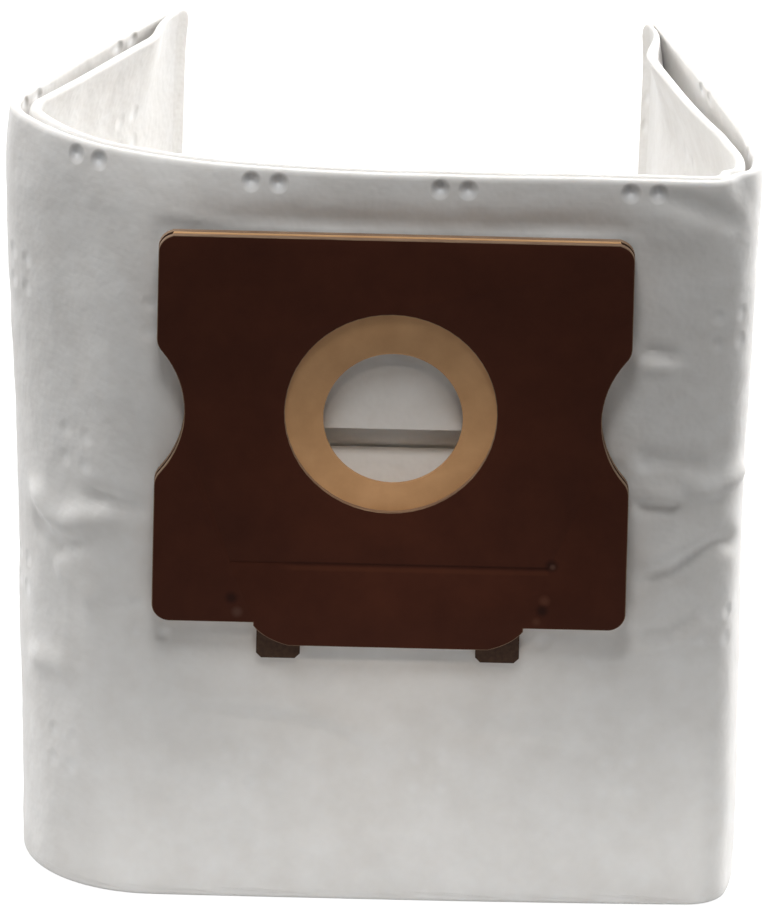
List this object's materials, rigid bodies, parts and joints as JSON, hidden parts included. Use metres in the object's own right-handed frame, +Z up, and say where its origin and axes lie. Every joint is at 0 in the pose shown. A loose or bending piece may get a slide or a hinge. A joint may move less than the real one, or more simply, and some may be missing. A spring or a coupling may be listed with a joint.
{
  "type": "vacuum cleaner dust bag",
  "caption": "Gusseted white non-woven filter bag, folded flat and stood in a U, with a stiff brown card collar and a tan sealing ring around its inlet",
  "frame": {"origin": "middle of the underside of the bounding box, on the surface that the bag stands on", "axes": "X to the right as seen facing the collar, Y backwards away from the collar, Z up"},
  "size_m": [0.1756, 0.1192, 0.18],
  "materials": {
    "filter_cloth": "matt, lofted non-woven",
    "card_back": "matt, raw edge",
    "seal_rubber": "satin",
    "card_front": "satin face, raw tan edge"
  },
  "bodies": {
    "root": {"bag": "filter_cloth", "collar_back": "card_back", "seal_membrane": "seal_rubber", "collar_front": "card_front"}
  },
  "joints": []
}
